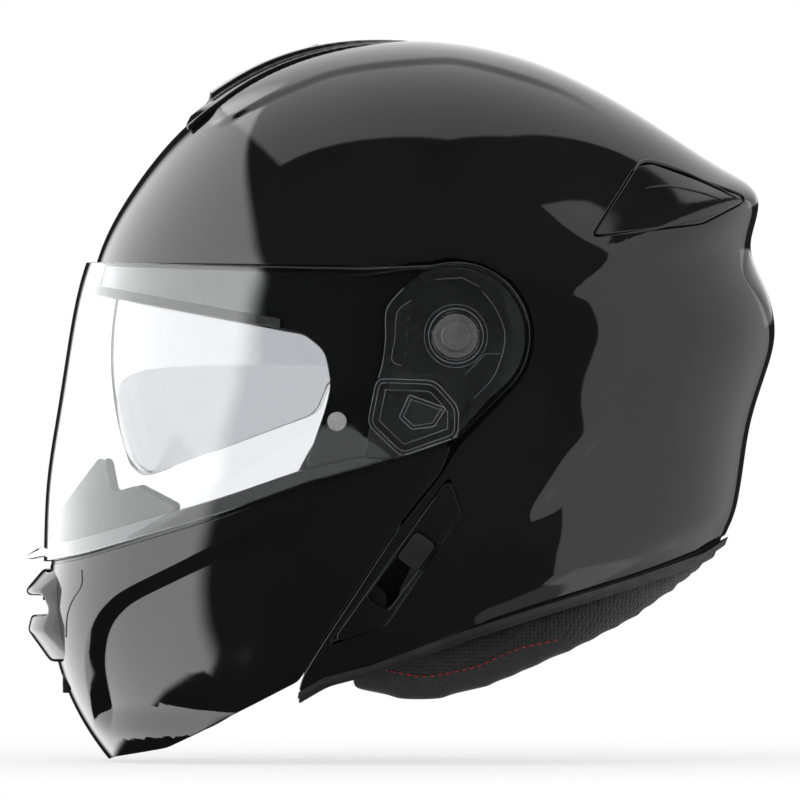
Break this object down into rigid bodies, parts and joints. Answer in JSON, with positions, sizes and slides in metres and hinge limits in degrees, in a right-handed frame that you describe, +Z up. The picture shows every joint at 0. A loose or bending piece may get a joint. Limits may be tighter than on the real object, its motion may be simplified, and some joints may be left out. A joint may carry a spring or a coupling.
{
  "type": "modular motorcycle helmet",
  "caption": "Flip-up full-face helmet with a lifting chin bar, clear visor, inner sun visor, vents, padding and a ratchet chin strap.",
  "frame": {"origin": "centre of the bounding box at its lowest point, with the helmet in its worn attitude", "axes": "-X to the front, +Y to the wearer's right, +Z up"},
  "size_m": [0.3216, 0.2618, 0.3097],
  "materials": {
    "shell_gloss": "deep gloss black lacquer",
    "dark_plastic": "satin black moulded plastic",
    "button_plastic": "satin black button",
    "foam": "black expanded foam",
    "lining": "black and dark grey knitted lining",
    "webbing": "black woven webbing",
    "soft_rubber": "soft black rubber",
    "steel": "plain steel",
    "clear_lens": "clear hard-coated polycarbonate",
    "tinted_lens": "smoke-tinted polycarbonate"
  },
  "bodies": {
    "shell": {"foam_front_left": "foam", "foam_front_right": "foam", "foam_rear_left": "foam", "foam_rear_right": "foam", "outer_shell": "shell_gloss", "crown_liner": "lining", "cheek_pad_left": "lining", "cheek_pad_right": "lining", "neck_roll": "lining", "edge_trim": "soft_rubber", "eye_port_seal": "soft_rubber", "pivot_bushes": "steel", "pivot_screws": "steel", "sun_visor_pins": "steel", "side_panel_left": "shell_gloss", "side_panel_right": "shell_gloss", "rear_vent_left": "dark_plastic", "rear_vent_right": "dark_plastic", "top_vent_base": "shell_gloss", "strikers": "steel", "chin_strap_left": "webbing", "chin_strap_right": "webbing", "strap_rivets": "steel", "buckle_body": "dark_plastic", "buckle_tongue": "steel"},
    "chin_bar": {"chin_bar": "shell_gloss", "chin_bar_liner": "foam", "breath_guard": "soft_rubber", "chin_vent_housing": "shell_gloss", "visor_base_left": "dark_plastic", "visor_base_right": "dark_plastic"},
    "visor": {"visor": "clear_lens", "antifog_pins": "dark_plastic"},
    "sun_visor": {"sun_visor": "tinted_lens"},
    "sun_slider": {"sun_slider": "dark_plastic"},
    "top_vent_slider": {"top_vent_slider": "dark_plastic"},
    "chin_vent_shutter": {"chin_vent_shutter": "dark_plastic"},
    "release_button": {"release_button": "button_plastic"},
    "latch_left": {"latch_left": "steel"},
    "latch_right": {"latch_right": "steel"},
    "buckle_lever": {"buckle_lever": "dark_plastic"}
  },
  "joints": [
    {"name": "chin_bar_lift", "type": "hinge", "parent": "shell", "child": "chin_bar", "pos_m": [0.025, 0, 0.1808], "axis": [0, 1, 0], "range_deg": [0, 80]},
    {"name": "visor_lift", "type": "hinge", "parent": "chin_bar", "child": "visor", "pos_m": [0.025, 0, 0.1808], "axis": [0, 1, 0], "range_deg": [0, 45]},
    {"name": "sun_visor_swing", "type": "hinge", "parent": "shell", "child": "sun_visor", "pos_m": [0.01253, 0, 0.17274], "axis": [0, 1, 0], "range_deg": [0, 35]},
    {"name": "sun_slider_slide", "type": "slide", "parent": "shell", "child": "sun_slider", "axis": [-0.5845, 0.2257, -0.7794], "range_m": [0, 0.022]},
    {"name": "top_vent_slide", "type": "slide", "parent": "shell", "child": "top_vent_slider", "axis": [0.9613, 0, 0.2756], "range_m": [0, 0.008]},
    {"name": "chin_vent_slide", "type": "slide", "parent": "chin_bar", "child": "chin_vent_shutter", "axis": [0, 0, -1], "range_m": [0, 0.004]},
    {"name": "release_press", "type": "slide", "parent": "chin_bar", "child": "release_button", "axis": [1, 0, 0], "range_m": [0, 0.004], "stiffness_N_per_m": 1500},
    {"name": "latch_left_turn", "type": "hinge", "parent": "chin_bar", "child": "latch_left", "pos_m": [-0.0322, -0.103, 0.06853], "axis": [0, -1, 0], "range_deg": [0, 10]},
    {"name": "latch_right_turn", "type": "hinge", "parent": "chin_bar", "child": "latch_right", "pos_m": [-0.0322, 0.103, 0.06853], "axis": [0, -1, 0], "range_deg": [0, 10]},
    {"name": "buckle_lever_lift", "type": "hinge", "parent": "shell", "child": "buckle_lever", "pos_m": [0.038, -0.02739, 0.05689], "axis": [1, 0, 0], "range_deg": [0, 60], "stiffness_Nm_per_rad": 0.02}
  ],
  "couplings": [
    {"joint": "sun_slider_slide", "follows": "sun_visor_swing", "m_per_rad": 0.036014},
    {"joint": "latch_left_turn", "follows": "release_press", "rad_per_m": 43.59},
    {"joint": "latch_right_turn", "follows": "release_press", "rad_per_m": 43.59}
  ]
}
